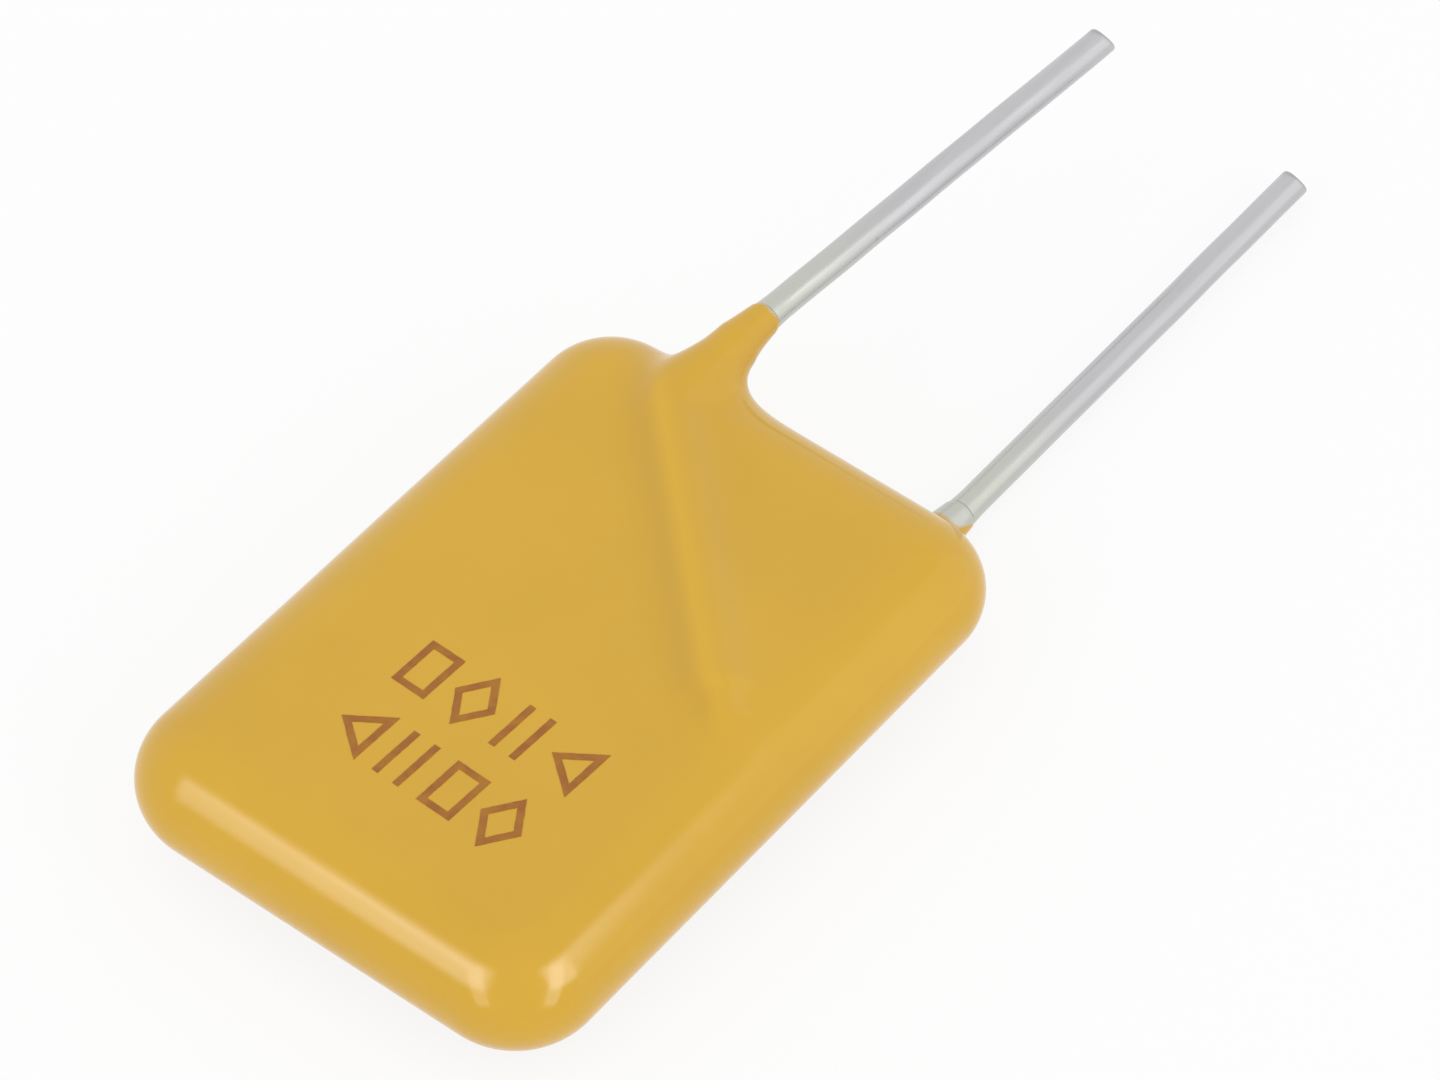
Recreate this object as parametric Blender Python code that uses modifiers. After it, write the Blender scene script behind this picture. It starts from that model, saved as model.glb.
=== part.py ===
"""Resettable fuse with two wire leads and a dipped coat.

A slab of conductive polymer lies between two metal foils. A tinned wire is soldered along each foil,
bends once inside the coat and leaves through a neck that the coat draws up along the wire.

Frame: X across the body, +Y along the leads, +Z out of the front face.
The origin is the middle of the flat back.
"""

import math

import bmesh
import bpy
import numpy as np
from mathutils import Matrix, Vector

MM = 0.001

# Body, measured over the coat
BODY_WIDTH = 10.9 * MM
BODY_LENGTH = 15.53 * MM
BODY_THICKNESS = 2.8 * MM
BODY_TAPER = 0.10 * MM          # how much narrower the lead end is than the far end
EDGE_ROUND = 1.6 * MM           # how far in from the outline the faces start to curve down
CORNER_LEAD_END = 1.70 * MM
CORNER_FAR_END = 1.92 * MM

# Chip and foils inside the coat
COAT_SIDE = 0.70 * MM
COAT_FACE = 0.45 * MM
CHIP_CORNER = 0.80 * MM
FOIL_THICKNESS = 0.04 * MM
BOND_GAP = 0.01 * MM            # clearance between pieces that are bonded face to face

# Leads
LEAD_DIAMETER = 0.64 * MM
LEAD_PITCH = 5.06 * MM          # between the lead centres where they leave the body
LEAD_OFFSET = 0.27 * MM         # how far the pair sits to the right of the middle
FRONT_LEAD_LENGTH = 12.02 * MM  # beyond the edge of the body
BACK_LEAD_LENGTH = 13.30 * MM
FRONT_LEAD_LEAN = math.radians(3.78)
BACK_LEAD_LEAN = math.radians(-0.32)
LEAD_TIP_ROUND = 0.07 * MM

# The run of each lead that is soldered to its foil
ELBOW_INSET = 1.62 * MM         # from the edge of the body to the corner of the bend
ELBOW_RADIUS = 1.30 * MM
RUN_LENGTH = 7.50 * MM          # from the corner of the bend to the inner end
RUN_SLANT = math.radians(44.0)  # below the X axis

# Solder
SOLDER_FILM = 0.03 * MM         # between the foil and the lead
SOLDER_RADIUS = 0.52 * MM
SOLDER_HEIGHT = 0.36 * MM       # above the foil
SOLDER_INSET = 0.90 * MM        # kept clear at each end of the straight slanted run
SOLDER_TAPER = 0.60 * MM        # over which each end of the bead thins out
SOLDER_TIP = 0.30 * MM          # radius left at each end of the bead

# Coat over the leads
COAT_OVER_LEAD = 0.10 * MM
RIDGE_BLEND = 1.35 * MM         # reach of the fillet between the flat face and the ridge
RIDGE_FADE = 0.70 * MM          # how far the ridge runs on past the lead while it sinks into the face
RIDGE_TIP = 0.15 * MM           # radius left where the ridge ends
NECK_BLEND = 2.10 * MM          # reach of the fillet where the neck leaves the body
NECK_ROOT = -0.04 * MM          # coat around the lead at the body's edge, where the fillet adds the rest
NECK_RISE = 0.50 * MM           # from the body's edge to the fullest part of the neck
NECK_COAT = 0.12 * MM           # coat around the lead there
NECK_TIP = 0.04 * MM            # coat around the lead where the neck ends
FRONT_NECK_LENGTH = 1.45 * MM
BACK_NECK_LENGTH = 1.55 * MM

# Mesh density
CELL = 0.42 * MM
EDGE_CELLS = 6
NECK_CELLS = 4
NECK_RINGS = 5
RELAX_PASSES = 12
RELAX_SHARE = 0.5               # how far each point moves towards the middle of its neighbours in a pass
ELBOW_STEPS = 6
WIRE_RESOLUTION = 6
CORNER_STEPS = 6
SETTLE_PASSES = 4
SOLDER_STEPS = 3
NUDGE = 0.001 * MM              # step used to measure the slope of the coat's distance field
LEAST_SLOPE = 0.3               # keeps a place in a flat spot of the field from being thrown far
DECIMALS = 9                    # places are rounded to a nanometre, so that flat faces are exactly flat
WELD = 0.001 * MM
PARALLEL = 0.9                  # share of an edge's length that has to lie along an axis

# Values that follow from the sizes above
MIDDLE = BODY_THICKNESS / 2
EDGE_Y = BODY_LENGTH / 2
STACK = BODY_THICKNESS - 2 * COAT_FACE
CHIP_WIDTH = BODY_WIDTH - 2 * COAT_SIDE
CHIP_LENGTH = BODY_LENGTH - 2 * COAT_SIDE
LEAD_RADIUS = LEAD_DIAMETER / 2
LEAD_RISE = STACK / 2 + BOND_GAP + SOLDER_FILM + BOND_GAP + LEAD_RADIUS


class Lead:
    """One wire: the face it lies on, where it leaves the body and how it runs."""

    def __init__(self, name, side, length, lean, neck_length):
        self.name = name
        self.side = side
        self.length = length
        self.lean = lean
        self.neck_length = neck_length
        self.exit_x = LEAD_OFFSET - side * LEAD_PITCH / 2
        self.z = MIDDLE + side * LEAD_RISE

    def straight(self, beyond):
        """Point on the straight part, this far beyond the edge of the body."""
        return Vector((self.exit_x + beyond * math.tan(self.lean), EDGE_Y + beyond, self.z))

    def run(self, along):
        """Point on the slanted part, this far from the corner of the bend."""
        heading = Vector((self.side * math.cos(RUN_SLANT), -math.sin(RUN_SLANT), 0))
        return self.straight(-ELBOW_INSET) + heading * along

    def elbow(self):
        """Points round the bend, from the slanted part to the straight part."""
        corner = self.straight(-ELBOW_INSET)
        inward = (self.run(RUN_LENGTH) - corner).normalized()
        outward = (self.straight(0) - corner).normalized()
        half_angle = inward.angle(outward) / 2
        reach = ELBOW_RADIUS / math.tan(half_angle)
        centre = corner + (inward + outward).normalized() * ELBOW_RADIUS / math.sin(half_angle)
        first = (corner + inward * reach - centre).normalized()
        last = (corner + outward * reach - centre).normalized()
        steps = [step / ELBOW_STEPS for step in range(ELBOW_STEPS + 1)]
        return [centre + first.slerp(last, share) * ELBOW_RADIUS for share in steps]

    def centreline(self):
        """The whole wire, from its inner end to its tip."""
        return [self.run(RUN_LENGTH)] + self.elbow() + [self.straight(self.length)]


FRONT = Lead("front", 1, FRONT_LEAD_LENGTH, FRONT_LEAD_LEAN, FRONT_NECK_LENGTH)
BACK = Lead("back", -1, BACK_LEAD_LENGTH, BACK_LEAD_LEAN, BACK_NECK_LENGTH)


# Scene and collections

def clear_scene():
    for item in list(bpy.data.objects):
        bpy.data.objects.remove(item, do_unlink=True)


def new_collection(name):
    collection = bpy.data.collections.new(name)
    bpy.context.scene.collection.children.link(collection)
    return collection


def new_object(name, mesh, collection, material=None):
    part = bpy.data.objects.new(name, mesh)
    collection.objects.link(part)
    if material:
        mesh.materials.append(material)
    return part


def make_material(name, colour, roughness, metallic):
    material = bpy.data.materials.new(name)
    material.use_nodes = True
    shader = material.node_tree.nodes["Principled BSDF"]
    shader.inputs["Base Color"].default_value = (*colour, 1)
    shader.inputs["Roughness"].default_value = roughness
    shader.inputs["Metallic"].default_value = metallic
    return material


def hide_cutter(cutter):
    cutter.hide_render = True
    cutter.display_type = "WIRE"


def cut(part, cutter):
    """Take the cutter's space out of the part."""
    modifier = part.modifiers.new(cutter.name, "BOOLEAN")
    modifier.operation = "DIFFERENCE"
    modifier.solver = "EXACT"
    modifier.object = cutter


# Chip and foils

def rounded_plate(name, width, length, corner, low, high, collection, material=None):
    """A flat plate with rounded corners between two heights."""
    shape = bmesh.new()
    bmesh.ops.create_cube(shape, size=1)
    bmesh.ops.scale(shape, vec=(width, length, high - low), verts=shape.verts)
    bmesh.ops.translate(shape, vec=(0, 0, (low + high) / 2), verts=shape.verts)
    upright = [edge for edge in shape.edges if runs_along(edge, 2)]
    bmesh.ops.bevel(shape, geom=upright, offset=corner, segments=CORNER_STEPS, profile=0.5, affect="EDGES")
    mesh = bpy.data.meshes.new(name)
    shape.to_mesh(mesh)
    shape.free()
    return new_object(name, mesh, collection, material)


def runs_along(edge, axis):
    span = edge.verts[1].co - edge.verts[0].co
    return abs(span[axis]) > PARALLEL * span.length


def make_chip(collection, material):
    half = STACK / 2 - FOIL_THICKNESS - BOND_GAP
    rounded_plate("polymer_chip", CHIP_WIDTH, CHIP_LENGTH, CHIP_CORNER, MIDDLE - half, MIDDLE + half,
                  collection, material)


def make_foil(lead, collection, material):
    outer = MIDDLE + lead.side * STACK / 2
    inner = outer - lead.side * FOIL_THICKNESS
    low, high = sorted((inner, outer))
    rounded_plate(lead.name + "_foil", CHIP_WIDTH, CHIP_LENGTH, CHIP_CORNER, low, high, collection, material)


# Wires

def tube(name, points, radius, collection, material=None, swell=None):
    """A round bar along a line of points, as a closed mesh."""
    curve = bpy.data.curves.new(name + "_line", "CURVE")
    curve.dimensions = "3D"
    curve.bevel_depth = radius
    curve.bevel_resolution = WIRE_RESOLUTION
    curve.use_fill_caps = True
    line = curve.splines.new("POLY")
    line.points.add(len(points) - 1)
    for index, point in enumerate(points):
        line.points[index].co = (*point, 1)
        line.points[index].radius = swell[index] if swell else 1
    guide = bpy.data.objects.new(name + "_line", curve)
    collection.objects.link(guide)
    evaluated = guide.evaluated_get(bpy.context.evaluated_depsgraph_get())
    mesh = bpy.data.meshes.new_from_object(evaluated)
    mesh.name = name
    part = new_object(name, mesh, collection, material)
    part.matrix_world = guide.matrix_world.copy()
    bpy.data.objects.remove(guide, do_unlink=True)
    shape = bmesh.new()
    shape.from_mesh(mesh)
    bmesh.ops.remove_doubles(shape, verts=shape.verts, dist=WELD)
    bmesh.ops.recalc_face_normals(shape, faces=shape.faces)
    shape.to_mesh(mesh)
    shape.free()
    return part


def make_lead(lead, collection, material):
    """The wire, with the edges of its cut ends rounded."""
    part = tube(lead.name + "_lead", lead.centreline(), LEAD_RADIUS, collection, material)
    bevel = part.modifiers.new("cut_ends", "BEVEL")
    bevel.width = LEAD_TIP_ROUND
    bevel.segments = 2
    bevel.limit_method = "ANGLE"
    bevel.angle_limit = math.radians(60)
    shade_round(part)
    return part


def lead_channel(lead, collection):
    """The space a lead needs in the coat and in the solder."""
    points = lead.centreline()
    first = points[0] + (points[0] - points[1]).normalized() * BOND_GAP
    last = points[-1] + (points[-1] - points[-2]).normalized() * LEAD_DIAMETER
    route = [first] + points[1:-1] + [last]
    channel = tube(lead.name + "_lead_channel", route, LEAD_RADIUS + BOND_GAP, collection)
    hide_cutter(channel)
    return channel


# Solder

def solder_bead(name, lead, grow, collection, material=None):
    """A bead along the slanted run, which bulges above the foil and thins out at both ends."""
    height = MIDDLE + lead.side * (STACK / 2 + SOLDER_HEIGHT - SOLDER_RADIUS)
    start = (lead.elbow()[0] - lead.run(0)).length + SOLDER_INSET - grow
    finish = RUN_LENGTH - SOLDER_INSET + grow
    taper = []
    for step in range(SOLDER_STEPS + 1):
        turn = math.pi / 2 * step / SOLDER_STEPS
        radius = SOLDER_TIP + (SOLDER_RADIUS - SOLDER_TIP) * math.sin(turn) + grow
        taper.append((SOLDER_TAPER * (1 - math.cos(turn)), radius / (SOLDER_RADIUS + grow)))
    stops = [start + inset for inset, _ in taper] + [finish - inset for inset, _ in reversed(taper)]
    swell = [share for _, share in taper] + [share for _, share in reversed(taper)]
    points = [lead.run(stop) for stop in stops]
    for point in points:
        point.z = height
    return tube(name, points, SOLDER_RADIUS + grow, collection, material, swell)


def make_solder(lead, channel, collection, cutters, material):
    bead = solder_bead(lead.name + "_solder", lead, 0, collection, material)
    surface = MIDDLE + lead.side * (STACK / 2 + BOND_GAP)
    beyond = MIDDLE - lead.side * BODY_THICKNESS
    low, high = sorted((surface, beyond))
    trim = rounded_plate(lead.name + "_trim", BODY_WIDTH, BODY_LENGTH, CHIP_CORNER, low, high, cutters)
    hide_cutter(trim)
    cut(bead, trim)
    cut(bead, channel)


# Coat, as a skin at zero distance from a field round the tablet and its two leads

def tablet_distance(places):
    """Distance to the flat tablet with round edges, without the leads."""
    x, y, z = places.T
    corner = np.maximum(np.where(y > 0, CORNER_LEAD_END, CORNER_FAR_END) - EDGE_ROUND, 0)
    half_width = BODY_WIDTH / 2 - BODY_TAPER / 2 * y / EDGE_Y
    across = np.abs(x) - (half_width - EDGE_ROUND - corner)
    along = np.abs(y) - (EDGE_Y - EDGE_ROUND - corner)
    outside = np.hypot(np.maximum(across, 0), np.maximum(along, 0))
    inside = np.minimum(np.maximum(across, along), 0)
    rim = np.maximum(outside + inside - corner, 0) * MIDDLE / EDGE_ROUND
    return np.hypot(rim, z - MIDDLE) - MIDDLE


def coated_wire_distance(places, lead):
    """Distance to the coat round one lead, which sinks away past its inner end and thins up the neck."""
    inside = lead.centreline()[:-1]
    neck = [lead.straight(stop) for stop in (0, NECK_RISE, lead.neck_length)]
    points = [lead.run(RUN_LENGTH + RIDGE_FADE)] + inside + neck
    coats = [RIDGE_TIP - LEAD_RADIUS] + [COAT_OVER_LEAD] * len(inside) + [NECK_ROOT, NECK_COAT, NECK_TIP]
    nearest = np.full(len(places), np.inf)
    for start, end, coat_start, coat_end in zip(points, points[1:], coats, coats[1:]):
        base = np.array(start)
        span = np.array(end) - base
        share = np.clip((places - base) @ span / (span @ span), 0, 1)
        centre = base + share[:, None] * span
        coat = coat_start + share * (coat_end - coat_start)
        nearest = np.minimum(nearest, np.linalg.norm(places - centre, axis=1) - LEAD_RADIUS - coat)
    return nearest


def blend(one, other, reach):
    """The smaller of two distances, with the valley between them filled over a given reach.

    The cube keeps the curvature even across the fillet's borders, so that no line shows there.
    """
    overlap = np.maximum(reach - np.abs(one - other), 0) / reach
    return np.minimum(one, other) - overlap ** 3 * reach / 6


def coat_distance(places):
    rise = np.clip((places[:, 1] - (EDGE_Y - ELBOW_INSET)) / ELBOW_INSET, 0, 1)
    reach = RIDGE_BLEND + (NECK_BLEND - RIDGE_BLEND) * rise
    distance = tablet_distance(places)
    for lead in (FRONT, BACK):
        distance = blend(distance, coated_wire_distance(places, lead), reach)
    return distance


def settle(places):
    """Move each place to the coat's surface along the slope of the distance field."""
    for _ in range(SETTLE_PASSES):
        distance = coat_distance(places)
        steps = np.eye(3) * NUDGE
        rises = [coat_distance(places + step) - coat_distance(places - step) for step in steps]
        slope = np.stack(rises, axis=1) / (2 * NUDGE)
        steep = np.maximum((slope ** 2).sum(axis=1), LEAST_SLOPE)
        places = places - (distance / steep)[:, None] * slope
    return np.round(places, DECIMALS)


def block_grid(shape):
    """A block of the body's size whose faces carry a grid of nearly square cells."""
    bmesh.ops.create_cube(shape, size=1)
    bmesh.ops.scale(shape, vec=(BODY_WIDTH, BODY_LENGTH, BODY_THICKNESS), verts=shape.verts)
    bmesh.ops.translate(shape, vec=(0, 0, MIDDLE), verts=shape.verts)
    for axis, cells in enumerate((round(BODY_WIDTH / CELL), round(BODY_LENGTH / CELL), EDGE_CELLS)):
        edges = [edge for edge in shape.edges if runs_along(edge, axis)]
        bmesh.ops.subdivide_edges(shape, edges=edges, cuts=cells - 1)


def grow_neck(shape, lead):
    """Draw the cells nearest a lead out along it in rings, and return the points of the last ring."""
    patch = []
    for face in shape.faces:
        middle = face.calc_center_median()
        near = abs(middle.x - lead.exit_x) < NECK_CELLS * CELL / 2
        if near and middle.y > EDGE_Y - CELL / 10 and lead.side * (middle.z - MIDDLE) > 0:
            patch.append(face)
    corners = {vert for face in patch for vert in face.verts}
    square_to_disc(corners, lead.straight(0), LEAD_RADIUS + NECK_COAT)
    step = lead.straight(lead.neck_length / NECK_RINGS) - lead.straight(0)
    for _ in range(NECK_RINGS):
        grown = bmesh.ops.extrude_face_region(shape, geom=patch)["geom"]
        bmesh.ops.delete(shape, geom=patch, context="FACES")
        patch = [item for item in grown if isinstance(item, bmesh.types.BMFace)]
        tips = [item for item in grown if isinstance(item, bmesh.types.BMVert)]
        bmesh.ops.translate(shape, vec=step, verts=tips)
    narrow = (LEAD_RADIUS + NECK_TIP) / (LEAD_RADIUS + NECK_COAT)
    to_centre = Matrix.Translation(-lead.straight(lead.neck_length))
    bmesh.ops.scale(shape, vec=(narrow, 1, narrow), space=to_centre, verts=tips)
    return tips


def square_to_disc(corners, centre, radius):
    """Spread the points of a square patch over a disc round a centre."""
    low = [min(vert.co[axis] for vert in corners) for axis in range(3)]
    high = [max(vert.co[axis] for vert in corners) for axis in range(3)]
    for vert in corners:
        u = 2 * (vert.co.x - low[0]) / (high[0] - low[0]) - 1
        v = 2 * (vert.co.z - low[2]) / (high[2] - low[2]) - 1
        vert.co = centre + radius * Vector((u * math.sqrt(1 - v * v / 2), 0, v * math.sqrt(1 - u * u / 2)))


def settle_points(points):
    for vert, place in zip(points, settle(np.array([vert.co for vert in points]))):
        vert.co = place


def split_cells(shape):
    """Split each four-sided cell along the diagonal that lies nearer the coat's surface."""
    cells = [face for face in shape.faces if len(face.verts) == 4]
    corners = np.array([[vert.co for vert in face.verts] for face in cells])
    one = np.abs(coat_distance((corners[:, 0] + corners[:, 2]) / 2))
    other = np.abs(coat_distance((corners[:, 1] + corners[:, 3]) / 2))
    for face, use_other in zip(cells, other < one):
        points = list(face.verts)
        start = 1 if use_other else 0
        bmesh.utils.face_split(face, points[start], points[start + 2])


def coat_blank(name, collection, material):
    """The outside of the coat as a solid body."""
    shape = bmesh.new()
    block_grid(shape)
    fixed = set()
    for lead in (FRONT, BACK):
        fixed.update(grow_neck(shape, lead))
    free = [vert for vert in shape.verts if vert not in fixed]
    axes = {"use_axis_x": True, "use_axis_y": True, "use_axis_z": True}
    for _ in range(RELAX_PASSES):
        settle_points(free)
        bmesh.ops.smooth_vert(shape, verts=free, factor=RELAX_SHARE, **axes)
    settle_points(free)
    split_cells(shape)
    bmesh.ops.recalc_face_normals(shape, faces=shape.faces)
    mesh = bpy.data.meshes.new(name)
    shape.to_mesh(mesh)
    shape.free()
    return new_object(name, mesh, collection, material)


def make_coating(channels, collection, cutters, material):
    """The coat, hollowed for everything that it holds."""
    coat = coat_blank("epoxy_coating", collection, material)
    half = STACK / 2 + BOND_GAP
    pocket = rounded_plate("chip_pocket", CHIP_WIDTH + 2 * BOND_GAP, CHIP_LENGTH + 2 * BOND_GAP,
                           CHIP_CORNER + BOND_GAP, MIDDLE - half, MIDDLE + half, cutters)
    hide_cutter(pocket)
    cut(coat, pocket)
    for lead, channel in zip((FRONT, BACK), channels):
        bead = solder_bead(lead.name + "_solder_pocket", lead, BOND_GAP, cutters)
        hide_cutter(bead)
        cut(coat, bead)
        cut(coat, channel)
    shade_round(coat)


def shade_round(part):
    part.data.shade_smooth()
    part.data.set_sharp_from_angle(angle=math.radians(40))


def main():
    clear_scene()
    fuse = new_collection("resettable_fuse")
    cutters = new_collection("cutters")
    epoxy = make_material("yellow_epoxy", (0.69, 0.42, 0.05), 0.3, 0)
    polymer = make_material("black_polymer", (0.02, 0.02, 0.02), 0.6, 0)
    nickel = make_material("nickel_foil", (0.55, 0.52, 0.47), 0.35, 1)
    tin = make_material("tinned_wire", (0.62, 0.62, 0.63), 0.35, 1)
    solder = make_material("solder", (0.5, 0.5, 0.51), 0.3, 1)
    make_chip(fuse, polymer)
    channels = []
    for lead in (FRONT, BACK):
        make_foil(lead, fuse, nickel)
        make_lead(lead, fuse, tin)
        channels.append(lead_channel(lead, cutters))
        make_solder(lead, channels[-1], fuse, cutters, solder)
    make_coating(channels, fuse, cutters, epoxy)


if __name__ == "__main__":
    main()
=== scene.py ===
"""Looks of a dipped resettable fuse: coat, wires, face marks, inner pieces and a plain studio."""

import math

import bmesh
import bpy
import numpy as np
from mathutils import Matrix, Vector, noise


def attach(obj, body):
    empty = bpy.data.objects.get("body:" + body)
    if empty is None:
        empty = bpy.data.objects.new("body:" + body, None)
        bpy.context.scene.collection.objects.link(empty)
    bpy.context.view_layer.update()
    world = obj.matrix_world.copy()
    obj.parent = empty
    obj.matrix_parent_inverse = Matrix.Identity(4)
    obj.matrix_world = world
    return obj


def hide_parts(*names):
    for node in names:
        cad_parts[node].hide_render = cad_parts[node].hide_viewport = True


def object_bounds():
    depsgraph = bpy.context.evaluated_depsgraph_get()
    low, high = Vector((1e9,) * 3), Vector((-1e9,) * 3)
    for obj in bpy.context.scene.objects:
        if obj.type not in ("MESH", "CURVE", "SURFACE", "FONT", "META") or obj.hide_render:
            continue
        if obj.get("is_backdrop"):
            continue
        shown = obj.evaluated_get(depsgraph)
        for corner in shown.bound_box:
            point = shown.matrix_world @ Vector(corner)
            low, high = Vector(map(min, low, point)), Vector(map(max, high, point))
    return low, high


bl_info = {
    "name": "Dipped fuse looks",
    "version": (1, 0, 0),
    "blender": (4, 5, 0),
    "location": "3D View > Sidebar > Fuse",
    "description": "Fine coat, wires, face marks and studio round the packed fuse",
    "category": "Object",
}

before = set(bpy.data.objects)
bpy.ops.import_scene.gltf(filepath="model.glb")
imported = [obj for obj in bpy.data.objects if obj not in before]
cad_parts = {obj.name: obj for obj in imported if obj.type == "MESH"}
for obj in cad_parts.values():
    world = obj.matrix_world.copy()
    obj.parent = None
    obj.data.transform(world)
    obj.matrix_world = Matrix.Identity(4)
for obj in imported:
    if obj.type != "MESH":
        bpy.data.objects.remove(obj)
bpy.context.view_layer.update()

MM = 0.001

# Body, measured over the coat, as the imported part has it
BODY_WIDTH = 10.9 * MM
BODY_LENGTH = 15.53 * MM
BODY_THICKNESS = 2.8 * MM
BODY_TAPER = 0.10 * MM          # width lost from the middle to the lead end, and gained to the far end
EDGE_ROUND = 1.6 * MM           # how far in from the outline the faces start to curve down
CORNER_LEAD_END = 1.70 * MM
CORNER_FAR_END = 1.92 * MM
COAT_FACE = 0.45 * MM
BOND_GAP = 0.01 * MM            # clearance between pieces that are bonded face to face
SOLDER_FILM = 0.03 * MM         # between the foil and the wire
MIDDLE = BODY_THICKNESS / 2
EDGE_Y = BODY_LENGTH / 2

# Wires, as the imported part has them
LEAD_RADIUS = 0.32 * MM
LEAD_PITCH = 5.06 * MM          # between the wires' centres where they leave the body
LEAD_OFFSET = 0.27 * MM         # how far the pair sits to the right of the middle
LEAD_RISE = MIDDLE - COAT_FACE + 2 * BOND_GAP + SOLDER_FILM + LEAD_RADIUS
ELBOW_INSET = 1.62 * MM         # from the edge of the body to the corner of the bend
ELBOW_RADIUS = 1.30 * MM
RUN_LENGTH = 7.50 * MM          # from the corner of the bend to the inner end
RUN_SLANT = math.radians(44.0)  # below the X axis

# Coat over the wires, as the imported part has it
COAT_OVER_LEAD = 0.10 * MM
RIDGE_BLEND = 1.35 * MM         # reach of the fillet between the flat face and the ridge
RIDGE_FADE = 0.70 * MM          # how far the ridge runs on past the wire while it sinks into the face
RIDGE_TIP = 0.15 * MM           # radius left where the ridge ends
NECK_RISE = 0.50 * MM           # from the body's edge to the fullest part of the neck
NECK_COAT = 0.12 * MM           # coat around the wire there
NECK_TIP = 0.04 * MM            # coat around the wire where the neck ends

# Root of the necks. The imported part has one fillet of 2.10 mm all round there, which leaves a slight dip
# on the outer side. The fine coat fills that dip.
NECK_BLEND_OUTER = 1.55 * MM    # reach of the fillet away from the other wire
NECK_BLEND_INNER = 2.10 * MM    # the same, on the side of the other wire
NECK_TURN = 1.20 * MM           # width over which the one reach turns into the other
NECK_ROOT = 0.08 * MM           # coat around the wire at the body's edge

# Colour of the ridge on the front: a painted highlight on the crest, strongest on its left, and a painted
# shade along the foot to the left of it
CREST_LIFT = 0.43 * MM          # height of the crest above the face
HIGHLIGHT_TURN = 0.40 * MM          # width over which the painted highlight fades to the right of the wire
SHADE_TURN = 0.30 * MM           # width over which the painted shade sets in to the left of it

# Where the resin thins to a film on each neck: the place of its edge beyond the body, how much further
# it reaches on one side of the wire, and that side as an angle from the front towards +X
FILM_EDGE = {
    "front": (1.47 * MM, -0.15 * MM, math.radians(28)),
    "back": (0.90 * MM, 0.65 * MM, math.radians(110)),
}
FILM_FADE = 0.10 * MM           # length over which the resin turns into the film
FILM_ROUGHNESS = 0.28
FILM_LIP = 0.013 * MM           # left at the very end of a neck, over the plain radius of the wire
FILM_SLOPE = 0.35               # how steeply the neck's end runs down to that lip
NECK_SPAN = 2 * LEAD_RADIUS     # a place nearer to a wire's centre than this lies on its neck

# Finish of the resin, and the fine grain that the tin and the ink have too
RESIN_IOR = 1.58
RESIN_CLOUDS = 3.4 * MM         # size of the clouds in its colour
RESIN_SPREAD = 0.03             # how far its roughness strays either way
GRAIN_DEPTH = 0.002 * MM

# Working of the fine coat
FIELD_ELBOW_STEPS = 6
SETTLE_PASSES = 4
NUDGE = 0.001 * MM              # step used to measure the slope of the distance field
LEAST_SLOPE = 0.3               # keeps a place in a flat spot of the field from being thrown far
MERGE = 0.0001 * MM
SHARP_TURN = math.radians(50)


class Lead:
    """One wire: the face it lies on, where it leaves the body and how it runs."""

    def __init__(self, name, side, length, lean, neck_length):
        self.name = name
        self.side = side
        self.length = length
        self.lean = lean
        self.neck_length = neck_length
        self.exit_x = LEAD_OFFSET - side * LEAD_PITCH / 2
        self.z = MIDDLE + side * LEAD_RISE

    def straight(self, beyond):
        """Point on the straight part, this far beyond the edge of the body."""
        return Vector((self.exit_x + beyond * math.tan(self.lean), EDGE_Y + beyond, self.z))

    def run(self, along):
        """Point on the slanted part, this far from the corner of the bend."""
        heading = Vector((self.side * math.cos(RUN_SLANT), -math.sin(RUN_SLANT), 0))
        return self.straight(-ELBOW_INSET) + heading * along

    def elbow(self, steps):
        """Points round the bend, from the slanted part to the straight part."""
        corner = self.straight(-ELBOW_INSET)
        inward = (self.run(RUN_LENGTH) - corner).normalized()
        outward = (self.straight(0) - corner).normalized()
        half_angle = inward.angle(outward) / 2
        reach = ELBOW_RADIUS / math.tan(half_angle)
        centre = corner + (inward + outward).normalized() * ELBOW_RADIUS / math.sin(half_angle)
        first = (corner + inward * reach - centre).normalized()
        last = (corner + outward * reach - centre).normalized()
        shares = [step / steps for step in range(steps + 1)]
        return [centre + first.slerp(last, share) * ELBOW_RADIUS for share in shares]


FRONT = Lead("front", side=1, length=12.02 * MM, lean=math.radians(3.78), neck_length=1.45 * MM)
BACK = Lead("back", side=-1, length=13.30 * MM, lean=math.radians(-0.32), neck_length=1.55 * MM)


# Settings that a user can change in the sidebar

def length_setting(name, description, default):
    return bpy.props.FloatProperty(
        name=name, description=description, default=default, min=0, precision=6,
        subtype="DISTANCE", unit="LENGTH")


def colour_setting(name, description, default):
    return bpy.props.FloatVectorProperty(
        name=name, description=description, default=default, min=0, max=1, size=3, subtype="COLOR")


def share_setting(name, description, default):
    return bpy.props.FloatProperty(
        name=name, description=description, default=default, min=0, max=1, subtype="FACTOR")


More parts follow.
